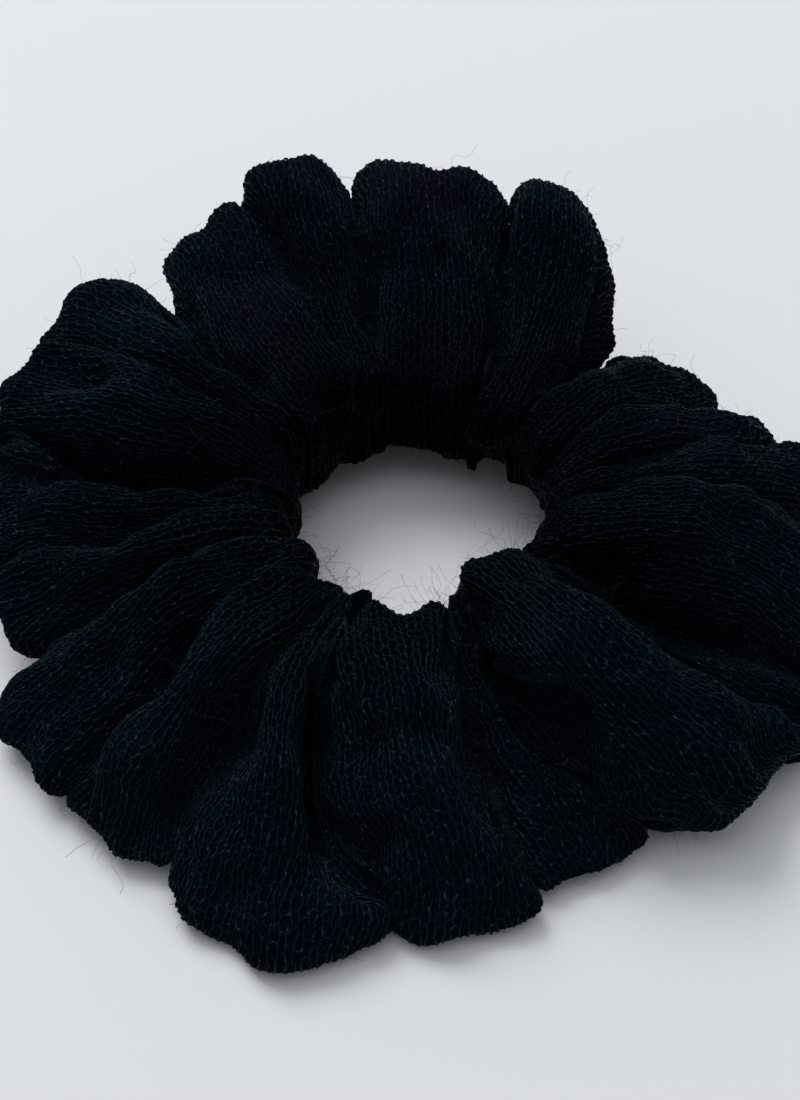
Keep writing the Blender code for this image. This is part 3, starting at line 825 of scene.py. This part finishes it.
def new_group(name, inputs, outputs):
    """A shader node group with number inputs and outputs."""
    group = bpy.data.node_groups.new(name, "ShaderNodeTree")
    for label, value in inputs.items():
        socket = group.interface.new_socket(label, in_out="INPUT", socket_type="NodeSocketFloat")
        socket.default_value = value
    for label in outputs:
        group.interface.new_socket(label, in_out="OUTPUT", socket_type="NodeSocketFloat")
    return group, node(group, "NodeGroupInput", (-900, 0)), node(group, "NodeGroupOutput", (600, 0))


def math_node(tree, operation, place, first, second=None):
    """A maths node fed by sockets or numbers."""
    made = node(tree, "ShaderNodeMath", place, operation=operation)
    for slot, value in enumerate((first, second)):
        if isinstance(value, (int, float)):
            made.inputs[slot].default_value = value
        elif value is not None:
            tree.links.new(value, made.inputs[slot])
    return made.outputs[0]


def make_twist_group():
    """Height of the plies that wind round a yarn, from its run map."""
    group, given, result = new_group("yarn_twist", {"Plies": 2.0, "Turns per metre": 900.0}, ["Height"])
    run = node(group, "ShaderNodeUVMap", (-900, -200), uv_map="yarn_run")
    parts = node(group, "ShaderNodeSeparateXYZ", (-700, -200))
    group.links.new(run.outputs["UV"], parts.inputs[0])
    along = math_node(group, "MULTIPLY", (-450, -100), parts.outputs["X"], given.outputs["Turns per metre"])
    winding = math_node(group, "ADD", (-250, -150), along, parts.outputs["Y"])
    phase = math_node(group, "MULTIPLY", (-50, -150), winding, given.outputs["Plies"])
    angle = math_node(group, "MULTIPLY", (120, -150), phase, 2 * math.pi)
    wave = math_node(group, "SINE", (280, -150), angle)
    group.links.new(wave, result.inputs["Height"])
    return group


def make_dye_and_light_group():
    """Uneven dye over the cloth, a fine grain and broad patches, with the painted shade near the hole and
    the painted sheen of the spots.
    """
    group, given, result = new_group("dye_and_painted_light", {"Grain size": 0.0007, "Patch size": 0.012},
                                     ["Grain", "Patches", "Painted_shade", "Painted_sheen"])
    where = node(group, "ShaderNodeTexCoord", (-900, -250))
    for label, size, detail, drop in (("Grain", "Grain size", 3.0, 0), ("Patches", "Patch size", 2.0, -250)):
        scale = math_node(group, "DIVIDE", (-650, drop), 1.0, given.outputs[size])
        texture = node(group, "ShaderNodeTexNoise", (-400, drop))
        texture.inputs["Detail"].default_value = detail
        group.links.new(where.outputs["Object"], texture.inputs["Vector"])
        group.links.new(scale, texture.inputs["Scale"])
        group.links.new(texture.outputs["Fac"], result.inputs[label])
    for label, drop in (("Painted_shade", -500), ("Painted_sheen", -700)):
        look = node(group, "ShaderNodeAttribute", (-400, drop), attribute_name=label.lower())
        group.links.new(look.outputs["Fac"], result.inputs[label])
    return group


def mix_colour(tree, place, factor, first, second):
    made = node(tree, "ShaderNodeMix", place, data_type="RGBA")
    made.inputs["A"].default_value = first
    made.inputs["B"].default_value = second
    tree.links.new(factor, made.inputs["Factor"])
    return made.outputs["Result"]


def spread_value(tree, place, value, low, high):
    made = node(tree, "ShaderNodeMapRange", place)
    made.inputs["From Min"].default_value = NOISE_SPAN[0]
    made.inputs["From Max"].default_value = NOISE_SPAN[1]
    made.inputs["To Min"].default_value = low
    made.inputs["To Max"].default_value = high
    tree.links.new(value, made.inputs["Value"])
    return made.outputs["Result"]


def yarn_material(yarn, groups):
    """A twisted yarn: its dye runs from dark to light with random patches, with painted sheen in the spots,
    painted glints and painted shade near the hole; its roughness varies, and its plies stand out."""
    material = bpy.data.materials.new(yarn.name)
    material.use_nodes = True
    tree = material.node_tree
    shader = tree.nodes["Principled BSDF"]
    shader.inputs["Specular IOR Level"].default_value = yarn.shine
    shader.inputs["Specular Tint"].default_value = SHINE_TINT
    shader.inputs["Sheen Weight"].default_value = yarn.fuzz
    shader.inputs["Sheen Roughness"].default_value = FUZZ_ROUGHNESS
    shader.inputs["Sheen Tint"].default_value = SHINE_TINT
    dye_and_light = node(tree, "ShaderNodeGroup", (-700, 100), node_tree=groups["dye_and_light"])
    twist = node(tree, "ShaderNodeGroup", (-700, -250), node_tree=groups["twist"])
    twist.inputs["Plies"].default_value = yarn.plies
    twist.inputs["Turns per metre"].default_value = yarn.turns
    both = math_node(tree, "MULTIPLY", (-480, 150), dye_and_light.outputs["Grain"], dye_and_light.outputs["Patches"])
    tone = spread_value(tree, (-300, 150), math_node(tree, "SQRT", (-400, 150), both), 0.0, 1.0)
    dyed = mix_colour(tree, (-120, 150), tone, yarn.dark, yarn.light)
    chance = spread_value(tree, (-300, 350), dye_and_light.outputs["Patches"], *PATCH_CHANCE)
    # Painted sheen: the violet patch colour in the spots, added to random patches of tone
    painted_sheen = math_node(tree, "ADD", (-120, 350), chance, dye_and_light.outputs["Painted_sheen"])
    patched = mix_colour(tree, (60, 250), painted_sheen, yarn.dark, yarn.patch)
    bright = node(tree, "ShaderNodeMapRange", (-300, 550))
    bright.inputs["From Min"].default_value = GLINT_FROM
    bright.inputs["From Max"].default_value = GLINT_TO
    tree.links.new(dye_and_light.outputs["Grain"], bright.inputs["Value"])
    glinting = mix_colour(tree, (60, 600), bright.outputs["Result"], yarn.dark, yarn.glint)
    tree.links.new(patched, glinting.node.inputs["A"])
    tree.links.new(dyed, patched.node.inputs["A"])
    # Painted shade: the colour darkens towards the hole
    shaded = mix_colour(tree, (240, 300), dye_and_light.outputs["Painted_shade"], yarn.dark, PAINTED_SHADE_COLOUR)
    tree.links.new(glinting, shaded.node.inputs["A"])
    tree.links.new(shaded, shader.inputs["Base Color"])
    least, most = (yarn.roughness + spread for spread in ROUGHNESS_SPREAD)
    rough = spread_value(tree, (-300, -50), dye_and_light.outputs["Grain"], least, most)
    tree.links.new(rough, shader.inputs["Roughness"])
    bump = node(tree, "ShaderNodeBump", (-200, -300))
    bump.inputs["Strength"].default_value = TWIST_STRENGTH
    bump.inputs["Distance"].default_value = yarn.relief
    tree.links.new(twist.outputs["Height"], bump.inputs["Height"])
    tree.links.new(bump.outputs["Normal"], shader.inputs["Normal"])
    return material


def plain_material(name, colour, roughness):
    material = bpy.data.materials.new(name)
    material.use_nodes = True
    shader = material.node_tree.nodes["Principled BSDF"]
    shader.inputs["Base Color"].default_value = colour
    shader.inputs["Roughness"].default_value = roughness
    return material


def make_floor():
    bpy.ops.mesh.primitive_plane_add(size=FLOOR_SIZE, location=(0.0, 0.0, 0.0))
    floor = bpy.context.object
    floor.name = "floor"
    floor.data.materials.append(plain_material("pale_floor", FLOOR_COLOUR, FLOOR_ROUGHNESS))


def make_lamp(lamp):
    light = bpy.data.lights.new(lamp.name, "AREA")
    light.shape = "DISK"
    light.size = lamp.size
    light.energy = lamp.power
    obj = bpy.data.objects.new(lamp.name, light)
    obj.location = lamp.place
    obj.rotation_euler = (Vector() - Vector(lamp.place)).to_track_quat("-Z", "Y").to_euler()
    bpy.context.scene.collection.objects.link(obj)


def make_lights():
    world = bpy.data.worlds.new("soft_room")
    world.use_nodes = True
    room = world.node_tree.nodes["Background"]
    room.inputs["Color"].default_value = ROOM_COLOUR
    room.inputs["Strength"].default_value = ROOM_STRENGTH
    bpy.context.scene.world = world
    for lamp in LAMPS:
        make_lamp(lamp)


def make_camera():
    """The photo's view: from the front and above, the ring's middle at its pixel of the frame."""
    tilt = math.radians(CAMERA_ELEVATION)
    forward = Vector((0.0, math.cos(tilt), -math.sin(tilt)))
    up = Vector((0.0, math.sin(tilt), math.cos(tilt)))
    right = Vector((1.0, 0.0, 0.0))
    ring = Vector((RING_AXIS[0], RING_AXIS[1], RING_TARGET_HEIGHT))
    off_right = (IMAGE_WIDTH / 2 - RING_PIXEL[0]) * METRES_PER_PIXEL
    off_up = (RING_PIXEL[1] - IMAGE_HEIGHT / 2) * METRES_PER_PIXEL
    lens = bpy.data.cameras.new("photo_view")
    lens.sensor_fit = "VERTICAL"
    lens.sensor_height = SENSOR
    lens.lens = SENSOR * CAMERA_DISTANCE / (IMAGE_HEIGHT * METRES_PER_PIXEL)
    lens.clip_start = 0.01
    lens.clip_end = 20.0
    camera = bpy.data.objects.new("photo_view", lens)
    place = ring - forward * CAMERA_DISTANCE + right * off_right + up * off_up
    camera.matrix_world = Matrix.Translation(place) @ Matrix((right, up, -forward)).transposed().to_4x4()
    bpy.context.scene.collection.objects.link(camera)
    bpy.context.scene.camera = camera


def follow_stretch(piece, slot, *nodes):
    """A piece with its placement baked into its mesh, in place of its nodes, which are hidden."""
    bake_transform(piece)
    if nodes:
        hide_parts(*nodes)


def main():
    bpy.context.scene.view_settings.view_transform = "Standard"
    groups = {"twist": make_twist_group(), "dye_and_light": make_dye_and_light_group()}
    kinds = (BLACK_YARN, KNIT_GROUND, FIBRE_FLUFF, ELASTIC_BRAID, SEWING_THREAD)
    yarn, ground, fluff, braid, thread = (yarn_material(kind, groups) for kind in kinds)

    grid, starts, room = cover_surface()
    normals = grid_normals(grid)
    path, normal, looks, bounds = stitch_paths(grid, normals, starts)
    cloth = make_cloth(grid, normals, starts, room, ground)
    stitches = make_stitches(path, normal, looks, bounds, yarn)
    fibres = make_fibres(path, normal, fluff)
    seams = make_seams(grid, normals, starts, thread)
    follow_stretch(cloth, "knit", "cover_left_half", "cover_right_half")
    for piece in [*stitches, fibres]:
        follow_stretch(piece, "knit")
    follow_stretch(make_elastic(braid), "elastic", "elastic_loop")
    follow_stretch(make_binding(thread), "thread", "elastic_binding_thread")
    follow_stretch(seams["long_seam_left"], "thread", "long_seam_thread_left")
    follow_stretch(seams["long_seam_right"], "thread", "long_seam_thread_right")
    follow_stretch(seams["closing_seam"], "thread", "closing_seam_thread")
    make_floor()
    make_lights()
    make_camera()


main()
